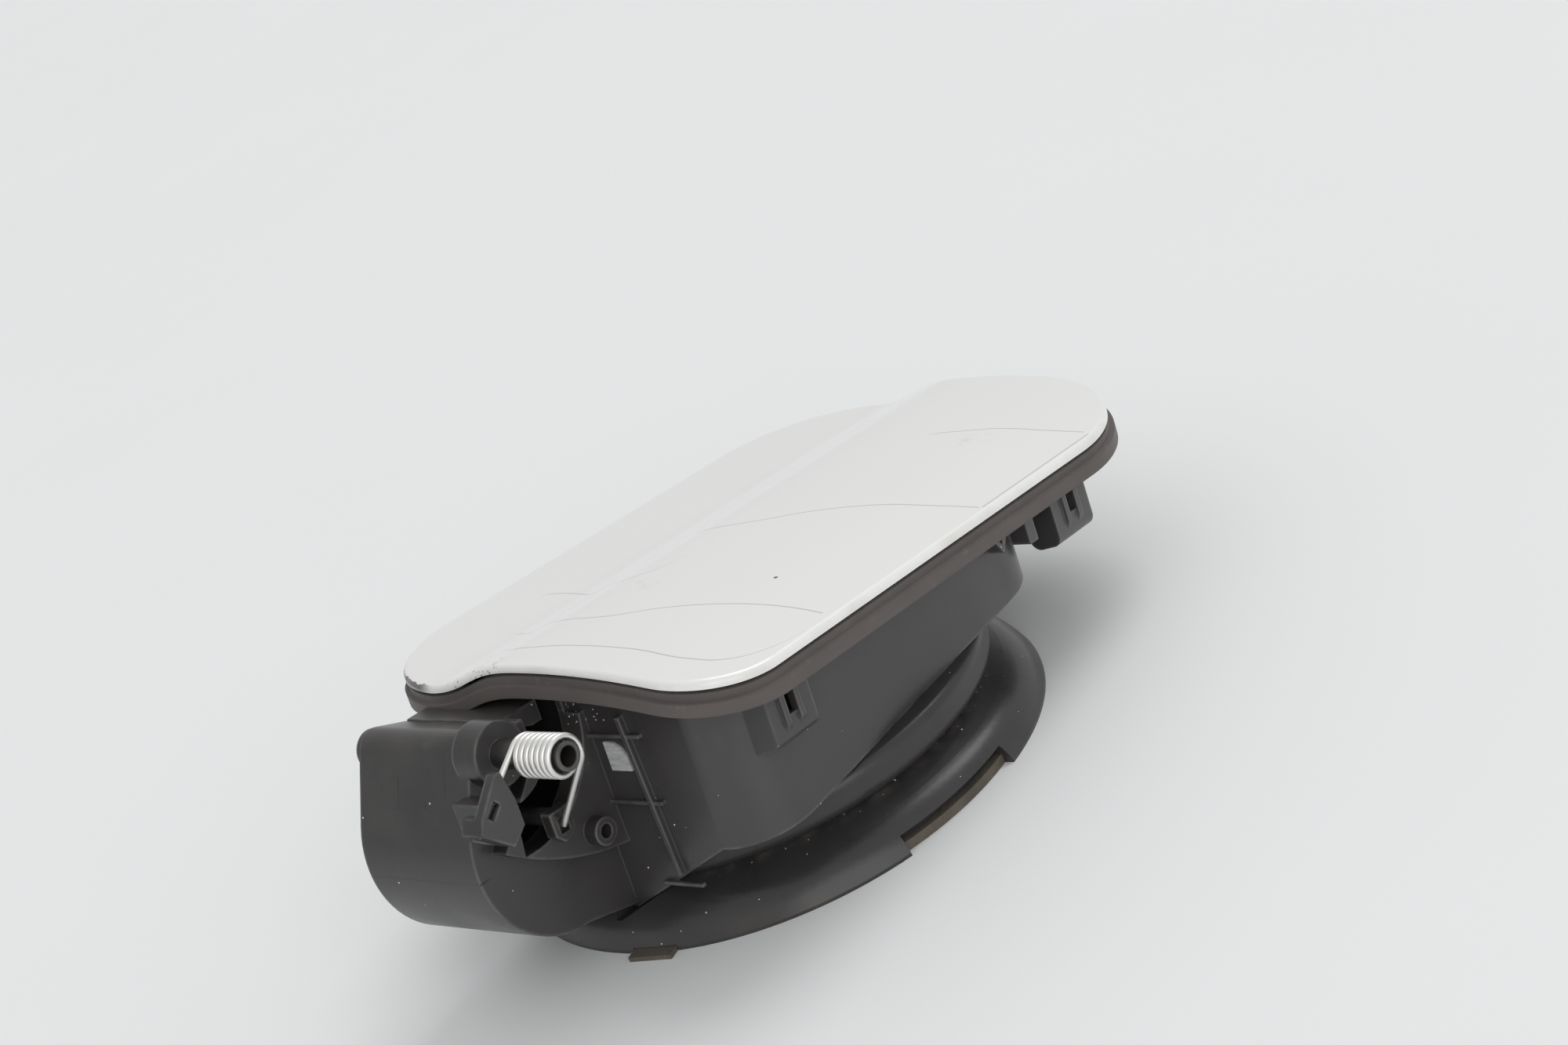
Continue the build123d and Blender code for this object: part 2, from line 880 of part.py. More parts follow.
# The fixed leg runs through a hole in the bracket
with BuildPart() as finished_pot:
    add(pot.part)
    add(straight_wire(winding @ 0, fixed_heading, fixed_leg + wire, leg_clearance), mode=Mode.SUBTRACT)
    window_start = winding @ 0 + fixed_heading * (fixed_leg - leg_window)
    with BuildSketch(Plane(origin=window_start, x_dir=flap.x_dir, z_dir=fixed_heading)):
        Rectangle(2 * block_length, wire + 2 * leg_clearance)
    extrude(amount=leg_window + leg_clearance, mode=Mode.SUBTRACT)
export(finished_pot.part, "pot")

# Soft edge seal: a channel pushed over the rim of the flange, flared below a ledge
with BuildPart() as flange_seal:
    add(crown_prism(ring(seal_inner, -flange_inset), -seal_top, -seal_ledge))
    add(crown_prism(ring(seal_outer, -flange_inset), -seal_ledge, -seal_low))
    add(crown_prism(ring(-flange_inset, -flange_inset - seal_lip), -seal_top, -flange_top))
    add(crown_prism(ring(-flange_inset, -flange_inset - seal_lip), -flange_low, -seal_low))
export(flange_seal.part, "flange_seal")

# Foam base ring in the foot of the bellows, with a pull tab
with BuildPart() as base_ring:
    with BuildSketch(Plane.XY):
        Circle(base_outer)
        Circle(base_inner, mode=Mode.SUBTRACT)
    extrude(amount=base_height)
    with BuildSketch(Plane.XY):
        with PolarLocations((base_inner + tab_end) / 2, 1, tab_angle):
            Rectangle(tab_end - base_inner, tab_width)
        Circle(base_inner, mode=Mode.SUBTRACT)
    extrude(amount=tab_skin)
export(base_ring.part, "base_ring")

# Rubber bellows: membrane with the neck hole, bead, groove, flared lip and foot
inner_groove = groove_radius - lip_skin
with BuildPart() as bellows:
    with BuildSketch(Plane.XZ) as bellows_section:
        with BuildLine():
            Polyline(
                (neck_radius, floor_height),
                (bead_radius, floor_height),
                (bead_radius, floor_height - bead_height),
                (groove_radius, groove_height),
                (shoulder_radius, shoulder_height),
                (lip_radius, lip_edge),
                (lip_radius, 0),
                (lip_radius - lip_skin, 0),
                (lip_radius - lip_skin, base_height),
                (base_inner, base_height),
                (inner_groove, groove_height - lip_skin),
                (inner_groove, floor_height - membrane),
                (neck_radius + neck_collar, floor_height - membrane),
                (neck_radius + neck_collar, 0),
                (neck_radius, 0),
                close=True,
            )
        make_face()
        bead_corners = bellows_section.vertices().sort_by(Axis.X).filter_by(
            lambda corner: abs(corner.X - bead_radius) < running_gap
        )
        fillet(bead_corners, bead_round)
    revolve(axis=Axis.Z)
    rounds = bellows.edges().filter_by(GeomType.CIRCLE)
    fillet(rounds.filter_by(lambda edge: abs(edge.radius - shoulder_radius) < running_gap), shoulder_round)
    with BuildSketch(Plane.XY):
        with BuildLine():
            CenterArc((0, 0), lip_radius, notch_start, notch_end - notch_start)
        trace(line_width=2 * notch_depth)
    extrude(amount=notch_height, mode=Mode.SUBTRACT)
    with BuildSketch(Plane.XY):
        with PolarLocations((base_outer + tab_end) / 2, 1, tab_angle):
            Rectangle(tab_end - base_outer + 2 * seal_gap, tab_width + 2 * seal_gap)
    extrude(amount=tab_skin + seal_gap, mode=Mode.SUBTRACT)
    with BuildSketch(across(drum_left - seal_gap)):
        add(drum_profile(-seal_gap, drum_top, bowl_near + 2 * bowl_wall + seal_gap))
    extrude(amount=drum_right - drum_left + 2 * seal_gap, mode=Mode.SUBTRACT)
    with BuildSketch(facing(bowl_near + bowl_wall + seal_gap)):
        add(skirt(seal_gap, drum_right - drum_wall))
    extrude(amount=lip_radius, mode=Mode.SUBTRACT)
    add(finished_pot.part, mode=Mode.SUBTRACT)
export(bellows.part, "bellows")

# Latch housing under the far flange, bumpers on the flange, cap hook on the carrier
with BuildSketch() as latch_plan:
    with Locations((0, latch_y)):
        Rectangle(latch_width, latch_length)
        Rectangle(latch_width - 2 * latch_wall, latch_length - 2 * latch_wall, mode=Mode.SUBTRACT)
latch_body = crown_prism(latch_plan.sketch, -flange_low, latch_low)
export(latch_body, "latch_body")

with BuildSketch() as bumper_plan:
    with GridLocations(2 * bumper_x, 0, 2, 1):
        with Locations((0, bumper_y)):
            Circle(bumper_radius)
bumpers = crown_prism(bumper_plan.sketch, carrier_low - bumper_gap, -flange_top)
export(bumpers, "bumpers")

with BuildPart() as cap_hook:
    with BuildSketch(across(cap_hook_x)):
        with BuildLine():
            Polyline(
                (cap_hook_y, 0),
                (cap_hook_y, -cap_hook_drop),
                (cap_hook_y + cap_hook_reach, -cap_hook_drop),
                (cap_hook_y + cap_hook_reach, -cap_hook_drop + cap_hook_lip),
            )
        trace(line_width=cap_hook_skin)
    extrude(amount=cap_hook_width)
    add(crown_slab(spare, carrier_low), mode=Mode.SUBTRACT)
export(cap_hook.part, "cap_hook")

# Sheet steel spring nut on the near wall
with BuildPart() as spring_nut:
    with BuildSketch(facing(bowl_near)) as nut_plan:
        with Locations((face_x + nut_x, hinge_z + nut_z)):
            Rectangle(nut_length, nut_width)
        fillet(nut_plan.vertices().sort_by(Axis.X)[-2:].sort_by(Axis.Y)[-1], nut_round)
    extrude(amount=nut_skin)
export(spring_nut.part, "spring_nut")
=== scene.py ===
# %% [markdown]
# # A car fuel door
# The imported solids are the fixed frame of this scene: flap, gooseneck arm, filler pot, spring,
# seal and bellows. Here they get their finishes, their dust and wear, some painted light and
# shade, and the small details that are easier in a mesh program than in a solid modeller.
# Lengths are written in millimetres, and MM takes them to Blender's metres.

# %% Load the frame
import math

import bpy
from mathutils import Matrix, Vector


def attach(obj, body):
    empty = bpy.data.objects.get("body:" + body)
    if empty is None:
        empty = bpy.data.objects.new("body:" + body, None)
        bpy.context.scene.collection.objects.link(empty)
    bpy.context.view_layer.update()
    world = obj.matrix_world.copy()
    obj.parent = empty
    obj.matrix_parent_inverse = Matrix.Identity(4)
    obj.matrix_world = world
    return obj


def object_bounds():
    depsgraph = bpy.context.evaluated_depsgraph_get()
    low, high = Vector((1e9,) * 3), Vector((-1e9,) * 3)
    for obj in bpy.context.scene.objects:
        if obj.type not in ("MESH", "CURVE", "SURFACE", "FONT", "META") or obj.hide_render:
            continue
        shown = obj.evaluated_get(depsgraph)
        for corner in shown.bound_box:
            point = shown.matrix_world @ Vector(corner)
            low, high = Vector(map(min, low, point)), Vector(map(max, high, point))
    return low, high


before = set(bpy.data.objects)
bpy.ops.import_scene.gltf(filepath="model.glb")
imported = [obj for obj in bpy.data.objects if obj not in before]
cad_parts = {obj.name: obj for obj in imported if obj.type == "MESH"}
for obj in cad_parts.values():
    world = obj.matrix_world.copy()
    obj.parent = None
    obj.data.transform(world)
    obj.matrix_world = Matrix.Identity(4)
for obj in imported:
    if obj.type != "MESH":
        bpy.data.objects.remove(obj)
cad_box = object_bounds()
MM = 0.001
print("frame nodes", len(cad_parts))

# %% [markdown]
# The closed flap is tilted against the table, so marks on it are easiest to place in its
# own frame: x along the hinge, y away from it, z out of the paint. One matrix takes a point
# from there to the shared frame, and a Mapping node does the reverse inside a material.

# %% The flap's own frame
FLAP_TILT = math.radians(9.0)
FLAP_ORIGIN = Vector((0.0, 35.70, 71.60)) * MM
FLAP_FRAME = (FLAP_ORIGIN, -FLAP_TILT)
flap_matrix = Matrix.Translation(FLAP_ORIGIN) @ Matrix.Rotation(-FLAP_TILT, 4, "X")
flap_normal = flap_matrix.to_3x3() @ Vector((0, 0, 1))


def on_flap(x, y, z):
    """Point of the flap frame, in millimetres, as a point of the shared frame."""
    return flap_matrix @ (Vector((x, y, z)) * MM)


print("flap normal", [round(v, 3) for v in flap_normal])

# %% [markdown]
# A material is a tree of nodes, and so is a scatter of grit. Wiring each node takes several
# lines, so one call makes a node here, sets it up, and fills its inputs with values or
# links. Some nodes hold several inputs of one name and use only one of them, so the call
# picks among the inputs that are switched on.

# %% Nodes by one call


def switched_on(sockets, key):
    """The socket with a name or a number, among those that are switched on."""
    shown = [socket for socket in sockets if socket.enabled]
    if isinstance(key, int):
        return shown[key]
    return next(socket for socket in shown if socket.name == key)


class Tree:
    """A node tree being built."""

    def __init__(self, tree):
        self.tree = tree

    def fill(self, socket, value):
        """Link a socket to another one, or set it; a colour is red, green and blue."""
        if isinstance(value, bpy.types.NodeSocket):
            self.tree.links.new(value, socket)
        elif socket.type == "RGBA":
            socket.default_value = (*value, 1)
        else:
            socket.default_value = value

    def node(self, kind, inputs=(), **settings):
        """New node with its settings, and values or links on its inputs."""
        made = self.tree.nodes.new(kind)
        for name, value in settings.items():
            setattr(made, name, value)
        for key, value in dict(inputs).items():
            self.fill(switched_on(made.inputs, key), value)
        return made


def calls_of(helper):
    """Names of the calls that a helper adds."""
    return [name for name in vars(helper) if not name.startswith("_")]


print("tree calls", calls_of(Tree))

# %% [markdown]
# Dirt, chips and lines are masks: values that are 1 where the mark is and 0 elsewhere. They
# come from a few steps, such as a soft threshold, a range with two soft ends and a product
# of masks. A Map Range node with smooth ends makes the threshold, because the jagged edge
# of a hard step shows up close.

# %% Masks


class Masks(Tree):
    """A tree with arithmetic on values and masks."""

    def math(self, operation, *values):
        """Result of one step of arithmetic."""
        return self.node("ShaderNodeMath", enumerate(values), operation=operation).outputs[0]

    def off(self, value, level):
        """How far a value is from a level."""
        return self.math("ABSOLUTE", self.math("SUBTRACT", value, level))

    def scale(self, value, source=(0, 1), target=(0, 1), blend="LINEAR"):
        """Value taken from one range to another."""
        ends = zip(("From Min", "From Max", "To Min", "To Max"), (*source, *target))
        inputs = {"Value": value, **dict(ends)}
        return self.node("ShaderNodeMapRange", inputs, interpolation_type=blend).outputs[0]

    def fade(self, value, start, end):
        """0 before start, 1 after end, smooth between; start may be above end."""
        if start > end:
            return self.math("SUBTRACT", 1.0, self.fade(value, end, start))
        return self.scale(value, (start, end), blend="SMOOTHSTEP")

    def all_of(self, *masks):
        """1 only where every mask is 1."""
        product = masks[0]
        for mask in masks[1:]:
            product = self.math("MULTIPLY", product, mask)
        return product

    def span(self, value, start, full, less, end):
        """1 from full to less, 0 before start and past end, smooth between."""
        return self.all_of(self.fade(value, start, full), self.fade(value, end, less))


print("mask calls", calls_of(Masks))

# %% [markdown]
# What varies over a surface needs a coordinate. Generated ones stretch with each piece, and
# a UV map would have to be unwrapped first. Object coordinates do neither, and they stay on
# a piece when the flap opens. A Mapping node takes them to millimetres, and to the flap's
# frame where that is handier, so a noise has a size that can be read off the real object.

# %% Patterns in millimetres
NO_STRETCH = (1, 1, 1)


class Patterns(Masks):
    """A tree with coordinates and noise, which is read at self.here."""

    def place(self, origin, turn):
        """Object coordinates in millimetres, from an origin, turned about X."""
        source = self.node("ShaderNodeTexCoord").outputs["Object"]
        inputs = {"Vector": source, "Location": origin, "Rotation": (turn, 0, 0)}
        inputs["Scale"] = (MM, MM, MM)
        return self.node("ShaderNodeMapping", inputs, vector_type="TEXTURE").outputs[0]

    def axis(self, name, place):
        """One coordinate of a place: X, Y or Z."""
        return self.node("ShaderNodeSeparateXYZ", {"Vector": place}).outputs[name]

    def noise(self, size, detail=3.0, stretch=NO_STRETCH):
        """Noise from 0 to 1 with features of about a size in millimetres."""
        factors = {0: self.here, 1: stretch}
        scaled = self.node("ShaderNodeVectorMath", factors, operation="MULTIPLY").outputs[0]
        inputs = {"Vector": scaled, "Scale": 1.0 / size, "Detail": detail}
        return self.node("ShaderNodeTexNoise", inputs).outputs["Fac"]


print("pattern calls", calls_of(Patterns))

# %% [markdown]
# A finish is one material on the Principled shader, which covers paint, plastic, rubber and
# metal. A value that is the same all over is set on the shader itself. The colour is built
# as on the bench: a ground first, then each layer of dirt or wear over what is there.

# %% A finish in layers
SHARED_FRAME = ((0, 0, 0), 0.0)
BEVEL_SAMPLES = 6


class Finish(Patterns):
    """A material being built: its shader, its place and its colour so far."""

    def __init__(self, name, own_frame=SHARED_FRAME, **constants):
        self.material = bpy.data.materials.new(name)
        self.material.use_nodes = True
        super().__init__(self.material.node_tree)
        self.shader = self.tree.nodes["Principled BSDF"]
        self.give(**constants)
        self.here = self.place(*own_frame)

    def give(self, **sockets):
        """Set or link sockets of the shader."""
        for name, value in sockets.items():
            self.fill(self.shader.inputs[name.replace("_", " ")], value)

    def mix(self, mask, below, above):
        """Colour that goes from below to above as the mask goes from 0 to 1."""
        inputs = {"Factor": mask, "A": below, "B": above}
        made = self.node("ShaderNodeMix", inputs, data_type="RGBA")
        return switched_on(made.outputs, "Result")

    def ground(self, colours, size, detail=3.0, stretch=NO_STRETCH):
        """First colour, which wanders between two, and the cloud that it follows."""
        self.cloud = self.noise(size, detail, stretch)
        self.colour = self.mix(self.cloud, *colours)

    def over(self, mask, colour, strength=1.0):
        """Lay a colour over those so far where the mask is, as far as a strength."""
        self.colour = self.mix(self.math("MULTIPLY", mask, strength), self.colour, colour)

    def bump(self, height, depth, softened=0.0):
        """Relief of a depth, over edges softened to a radius, in millimetres."""
        inputs = {"Height": height, "Distance": depth * MM, "Strength": 1.0}
        if softened:
            soft = self.node("ShaderNodeBevel", {"Radius": softened * MM}, samples=BEVEL_SAMPLES)
            inputs["Normal"] = soft.outputs[0]
        self.give(Normal=self.node("ShaderNodeBump", inputs).outputs[0])

    def done(self):
        """The material, with the colour so far on its shader."""
        self.give(Base_Color=self.colour)
        return self.material


print("finish calls", calls_of(Finish))

# %% [markdown]
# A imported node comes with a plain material. Its mesh must stay as it is, but its slots are
# free, so a finished material simply takes the place of the plain one.

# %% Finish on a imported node


def dress(finish, *nodes):
    """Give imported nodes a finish."""
    material = finish.done()
    for node in nodes:
        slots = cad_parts[node].data.materials
        slots.clear()
        slots.append(material)
    print(material.name, "on", ", ".join(nodes))


print("nodes to dress:", ", ".join(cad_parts))

# %% [markdown]
# The flap is pressed sheet under warm white paint and clear coat. The clear coat is a
# second, sharper reflection over the paint. It could be a second shader mixed in, but the
# Principled shader has it as a layer of its own. A slow noise moves the white by a shade, as
# on a flap that has aged, and a very shallow relief gives the coat its orange peel.

# %% White paint
WHITES = ((0.815, 0.813, 0.799), (0.838, 0.835, 0.821))
WHITE_PATCH = 60.0
PEEL_SIZE = 1.2
PEEL_DEPTH = 0.004

paint = Finish("white_paint", FLAP_FRAME, Roughness=0.30, Coat_Weight=0.60, Coat_Roughness=0.13)
paint.ground(WHITES, WHITE_PATCH)
paint.bump(paint.noise(PEEL_SIZE, detail=2.0), PEEL_DEPTH)
flap_x = paint.axis("X", paint.here)
flap_y = paint.axis("Y", paint.here)
print("paint begun,", len(paint.tree.nodes), "nodes")

# %% [markdown]
# Hair-thin darker lines run across the paint. An image could hold them, but it blurs up close.
# Here a line is a curve of y over x in the flap's frame, held by a Float Curve node, and its
# mask is how near the surface is to that curve. The node works from 0 to 1, so x and y are
# scaled on the way in and out.

# %% One curved hairline
CURVE_X = (-80.0, 80.0)
CURVE_Y = (-110.0, 110.0)
CURVE_HALF_WIDTH = 0.22
CURVE_FADE_IN = (-1.0, 7.0)
CURVE_FADE_OUT = 0.3


def share(value, ends):
    """Where a value lies between two ends, from 0 to 1."""
    return (value - ends[0]) / (ends[1] - ends[0])


def hairline(off, half_width):
    """Mask of a thin line, from how far the surface is off its middle."""
    return paint.fade(off, 2 * half_width, 0.5 * half_width)


def curved_hairline(points):
    """Mask of a thin line through points (x, y) of the flap frame."""
    curve = paint.node("ShaderNodeFloatCurve", {"Value": paint.scale(flap_x, CURVE_X)})
    knots = [(share(x, CURVE_X), share(y, CURVE_Y)) for x, y in points]
    line = curve.mapping.curves[0]
    line.points[0].location = knots[0]
    line.points[1].location = knots[-1]
    for knot in knots[1:-1]:
        line.points.new(*knot)
    curve.mapping.update()
    line_y = paint.scale(curve.outputs[0], target=CURVE_Y)
    first, last = points[0][0], points[-1][0]
    fade_in = [first + step for step in CURVE_FADE_IN]
    ends = paint.span(flap_x, *fade_in, last, last + CURVE_FADE_OUT)
    return paint.all_of(hairline(paint.off(flap_y, line_y), CURVE_HALF_WIDTH), ends)


print("a bond line is about", 2 * CURVE_HALF_WIDTH, "mm wide")

# %% [markdown]
# There are five curved lines, each through a few points that were picked on the flap, and
# one straight line along the right edge, which needs no curve. The masks are joined by
# their maximum, so that lines which meet don't turn darker there.

# %% Hairlines on the paint
FLAP_HAIRLINES = (
    ((-38, -74), (6, -78), (29, -69), (48, -63), (63, -60), (76, -59)),
    ((-27, -94), (-8, -98), (11, -96.5), (38, -95), (58, -95), (69, -91), (75, -82), (78, -70)),
    ((-14, -16), (9, -10), (27, -1.5), (48, 6.5), (63, 10), (77, 14)),
    ((24, 58), (37, 62), (49, 66), (63, 68), (76, 71)),
    ((-56, -46), (-42, -45), (-14, -52), (-2, -46), (3, -34)),
)
EDGE_LINE_X = 78.0
EDGE_LINE_Y = (14.0, 15.0, 70.0, 71.0)
EDGE_HALF_WIDTH = 0.20
LINE_COLOUR = (0.31, 0.29, 0.26)
LINE_STRENGTH = 0.58

edge_line = hairline(paint.off(flap_x, EDGE_LINE_X), EDGE_HALF_WIDTH)
lines = paint.all_of(edge_line, paint.span(flap_y, *EDGE_LINE_Y))
for points in FLAP_HAIRLINES:
    lines = paint.math("MAXIMUM", lines, curved_hairline(points))
paint.over(lines, LINE_COLOUR, LINE_STRENGTH)
print("bond lines", len(FLAP_HAIRLINES))

# %% [markdown]
# A used flap has a few marks with a place of their own: two smudges and one dark speck. Each
# is a round spot, measured flat in the flap's frame. A stretched noise breaks the smudges
# into smears, because a clean disc would look printed.

# %% Speck and smudges
SMUDGES = ((4.9, -53.4), (44.7, 55.5))
SMUDGE_RADIUS = 2.0
SMUDGE_SOFTNESS = 7.0
SMUDGE_COLOUR = (0.42, 0.38, 0.33)
SMUDGE_STRENGTH = 0.25
SMEAR_SIZE = 5.0
SMEAR_STRETCH = (1.0, 3.0, 1.0)
SMEAR_PATCHES = (0.48, 0.70)
SPECK = (48.2, -45.3)
SPECK_RADIUS = 0.5
SPECK_SOFTNESS = 0.3
SPECK_COLOUR = (0.02, 0.02, 0.02)
FLATTEN = (1, 1, 0)


def spot(place, radius, softness):
    """Mask of a round spot at a place (x, y) of the flap."""
    factors = {0: paint.here, 1: FLATTEN}
    flat = paint.node("ShaderNodeVectorMath", factors, operation="MULTIPLY").outputs[0]
    ends = {0: flat, 1: (*place, 0)}
    distance = paint.node("ShaderNodeVectorMath", ends, operation="DISTANCE").outputs["Value"]
    return paint.fade(distance, radius + softness, radius)


smear = paint.fade(paint.noise(SMEAR_SIZE, detail=4.0, stretch=SMEAR_STRETCH), *SMEAR_PATCHES)
for place in SMUDGES:
    smudge = paint.all_of(spot(place, SMUDGE_RADIUS, SMUDGE_SOFTNESS), smear)
    paint.over(smudge, SMUDGE_COLOUR, SMUDGE_STRENGTH)
paint.over(spot(SPECK, SPECK_RADIUS, SPECK_SOFTNESS), SPECK_COLOUR)
print("smudges", len(SMUDGES), "and one speck")

# %% [markdown]
# Dirt settles by which way a face looks, and so does the painted light on the pot's walls; grit
# lies as loose dots. The direction comes from the surface normal. The Geometry node gives it in
# the world's frame, where it turns with the flap, so the piece's own frame is read instead, and
# the marks stay put. The dots are the middles of Voronoi cells, of which only a share is kept.

# %% Faces and dots


def facing(finish, direction):
    """How far the surface faces a direction of the piece's own frame, from -1 to 1."""
    normal = finish.node("ShaderNodeTexCoord").outputs["Normal"]
    ends = {0: normal, 1: direction}
    return finish.node("ShaderNodeVectorMath", ends, operation="DOT_PRODUCT").outputs["Value"]


def specks(finish, pitch, radius, kept):
    """Dots of a radius on a share of the cells of a jittered grid, in millimetres."""
    cells = finish.node("ShaderNodeTexVoronoi", {"Vector": finish.here, "Scale": 1.0 / pitch})
    draw = finish.node("ShaderNodeSeparateColor", {"Color": cells.outputs["Color"]}).outputs[0]
    dots = finish.fade(cells.outputs["Distance"], radius / pitch, 0.5 * radius / pitch)
    return finish.all_of(finish.math("LESS_THAN", draw, kept), dots)


flap_up = facing(paint, flap_normal)
print("paint has", len(paint.tree.nodes), "nodes so far")

# %% [markdown]
# The near edge of the flap has been knocked and splashed: the paint is chipped to a dark
# edge at the left tip, brown flecks stick beside it, and a thin film lies on the rim. Chips
# follow the rounding of the rim, so the mask adds a ragged noise to how far the face looks
# up, which breaks the paint where it is thinnest.

# %% Chips, flecks and film
FLECK_X = (-34.0, -24.0, -9.0, -3.0)
FLECK_Y = (-103.0, -105.0)
FLECKS = {"pitch": 1.5, "radius": 0.6, "kept": 0.9}
FLECK_COLOUR = (0.25, 0.19, 0.12)
FLECK_STRENGTH = 0.65
TIP_X = (-78.0, -72.0, -46.0, -37.0)
TIP_Y = (-84.0, -92.0)
CHIP_SIZE = 4.5
CHIP_RAGGED = 0.9
CHIP_EDGE = (1.28, 1.18)
CHIP_COLOUR = (0.055, 0.048, 0.040)
RIM_FACING = (0.93, 0.55)
RIM_FILM_SIZE = 14.0
RIM_FILM_PATCHES = (0.45, 0.75)
RIM_FILM_COLOUR = (0.46, 0.41, 0.34)
RIM_FILM_STRENGTH = 0.22

beside_tip = paint.all_of(paint.span(flap_x, *FLECK_X), paint.fade(flap_y, *FLECK_Y))
paint.over(paint.all_of(beside_tip, specks(paint, **FLECKS)), FLECK_COLOUR, FLECK_STRENGTH)
tip = paint.all_of(paint.span(flap_x, *TIP_X), paint.fade(flap_y, *TIP_Y))
ragged = paint.math("MULTIPLY", paint.noise(CHIP_SIZE, detail=5.0), CHIP_RAGGED)
chipped = paint.fade(paint.math("ADD", flap_up, ragged), *CHIP_EDGE)
paint.over(paint.all_of(chipped, tip), CHIP_COLOUR)
film = paint.fade(paint.noise(RIM_FILM_SIZE), *RIM_FILM_PATCHES)
rim = paint.fade(flap_up, *RIM_FACING)
paint.over(paint.all_of(rim, film), RIM_FILM_COLOUR, RIM_FILM_STRENGTH)
dress(paint, "flap_panel")

# %% [markdown]
# Pot, arm, carrier and latch are moulded from black plastic. A mould is spark-eroded, which
# leaves a fine grain, and no moulded edge is quite sharp. The solids keep their plain edges,
# so a Bevel node rounds them in the shading only, which costs no faces.

# %% Black moulded plastic
POT_BLACK = (0.017, 0.0155, 0.0155)
ARM_BLACK = (0.023, 0.021, 0.021)
PLASTIC_CLOUD = 22.0
PLASTIC_GAIN = 1.35
PLASTIC_ROUGHNESS = {"source": (0.30, 0.75), "target": (0.25, 0.40)}
GRAIN_SIZE = 0.35
GRAIN_DEPTH = 0.010
EDGE_SOFTNESS = 0.7


def black_plastic(name, black):
    """Plastic with a cloudy tone, a fine grain and softened edges."""
    plastic = Finish(name, Specular_IOR_Level=0.58)
    plastic.ground((black, [PLASTIC_GAIN * c for c in black]), PLASTIC_CLOUD, detail=4.0)
    plastic.give(Roughness=plastic.scale(plastic.cloud, **PLASTIC_ROUGHNESS))
    plastic.bump(plastic.noise(GRAIN_SIZE, detail=2.0), GRAIN_DEPTH, EDGE_SOFTNESS)
    return plastic


pot_plastic = black_plastic("pot_plastic", POT_BLACK)
arm_plastic = black_plastic("arm_plastic", ARM_BLACK)
print("plastics begun,", len(pot_plastic.tree.nodes), "nodes each")

# %% [markdown]
# The pot is painted with light and shade. Its hinge pocket keeps the darkest black as painted
# shade, while its walls and every face that looks right get a lighter black as painted light.
# The right wall is lighter still in patches towards the latch end, which is partly dust and
# partly painted light. These changes follow y in the shared frame and the way a face looks, so
# two masks over the same black are enough, and no face needs a material of its own.

# %% Painted light and shade, and dust, on the walls of the pot
WALL_PAINTED_LIGHT_BLACKS = ((0.043, 0.040, 0.040), (0.057, 0.053, 0.053))
WALL_Y = (-92.0, -70.0)
RIGHT = (1, 0, 0)
RIGHT_FACING = (0.4, 0.9)
DUST_AND_LIGHT_Y = (0.0, 75.0)
DUST_AND_LIGHT_PATCHES = (0.2, 0.7)
DUST_AND_LIGHT_COLOUR = (0.088, 0.087, 0.087)
DUST_AND_LIGHT_STRENGTH = 0.8

pot_y = pot_plastic.axis("Y", pot_plastic.here)
right_side = pot_plastic.fade(facing(pot_plastic, RIGHT), *RIGHT_FACING)
# Walls and right-facing faces get a lighter black as painted light; the pocket stays dark as
# painted shade.
painted_light_walls = pot_plastic.math("MAXIMUM", pot_plastic.fade(pot_y, *WALL_Y), right_side)
pot_plastic.over(painted_light_walls, pot_plastic.mix(pot_plastic.cloud, *WALL_PAINTED_LIGHT_BLACKS))
# Lighter patches on right-facing walls towards the latch end: partly dust, partly painted light.
patches = pot_plastic.fade(pot_plastic.cloud, *DUST_AND_LIGHT_PATCHES)
dust_and_light = pot_plastic.all_of(right_side, pot_plastic.fade(pot_y, *DUST_AND_LIGHT_Y), patches)
pot_plastic.over(dust_and_light, DUST_AND_LIGHT_COLOUR, DUST_AND_LIGHT_STRENGTH)
print("pot walls weathered,", len(pot_plastic.tree.nodes), "nodes")

# %% [markdown]
# Years under a wheel arch mark all the plastic: a grey film on faces that look up, scuffs in
# streaks and pale specks. The edges are paler in patches, partly rubbed wear and partly a
# painted highlight. An Ambient Occlusion node turned inside finds the edges, because near a
# sharp edge a ray into the piece soon leaves it again.

# %% Wear and painted edge highlights of the plastic
UP = (0, 0, 1)
UP_FACING = (0.10, 0.95)
FILM_PATCHES = (0.35, 0.80)
FILM_COLOUR = (0.085, 0.078, 0.070)
FILM_STRENGTH = 0.5
STREAK_SIZE = 9.0
STREAK_STRETCH = (1.0, 1.0, 0.25)
SCUFF_PATCHES = (0.62, 0.80)
SCUFF_COLOUR = (0.075, 0.073, 0.072)
SCUFF_STRENGTH = 0.35
EDGE_WIDTH = 1.1
EDGE_OPEN = (0.95, 0.55)
EDGE_RAYS = {"samples": 8, "inside": True, "only_local": True}
EDGE_RUB_AND_HIGHLIGHT_PATCHES = (0.3, 0.6)
EDGE_RUB_AND_HIGHLIGHT_COLOUR = (0.15, 0.145, 0.14)
EDGE_RUB_AND_HIGHLIGHT_STRENGTH = 0.7
PALE_SPECKS = {"pitch": 4.2, "radius": 0.26}
PALE_COLOUR = (0.46, 0.44, 0.41)


def edges(finish, width):
    """1 along edges that stand out, 0 past a width in millimetres."""
    rays = finish.node("ShaderNodeAmbientOcclusion", {"Distance": width * MM}, **EDGE_RAYS)
    return finish.fade(rays.outputs["AO"], *EDGE_OPEN)


